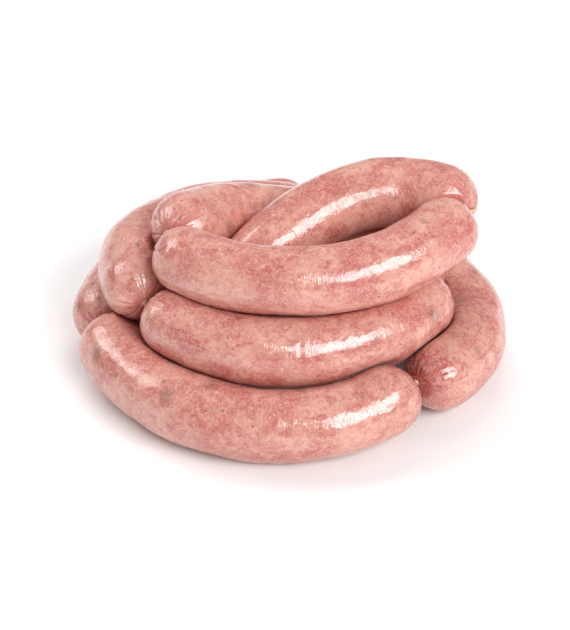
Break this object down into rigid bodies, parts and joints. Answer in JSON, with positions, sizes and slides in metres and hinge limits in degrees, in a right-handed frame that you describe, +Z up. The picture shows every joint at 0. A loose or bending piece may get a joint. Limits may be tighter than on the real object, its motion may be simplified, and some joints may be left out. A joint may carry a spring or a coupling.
{
  "type": "string of sausage links",
  "caption": "Coiled heap of fresh, raw pork-style sausages still joined end to end by short wrung twists of casing.",
  "frame": {"origin": "middle of the heap's box in plan, at the height of the surface it lies on", "axes": "+Z up, -Y towards the longest front link, +X towards the link lying on its right"},
  "size_m": [0.198, 0.205, 0.0839],
  "materials": {
    "meat": "moist casing over coarse pink minced meat with pale fat and green herb flecks",
    "casing": "dry, wrung translucent casing"
  },
  "bodies": {
    "root": {"link_01": "meat", "link_02": "meat", "link_03": "meat", "link_04": "meat", "link_05": "meat", "link_06": "meat", "link_07": "meat", "link_08": "meat", "twist_01": "casing", "twist_02": "casing", "twist_03": "casing", "twist_04": "casing", "twist_05": "casing", "twist_06": "casing", "twist_07": "casing", "tail_first": "casing", "tail_last": "casing"}
  },
  "joints": []
}
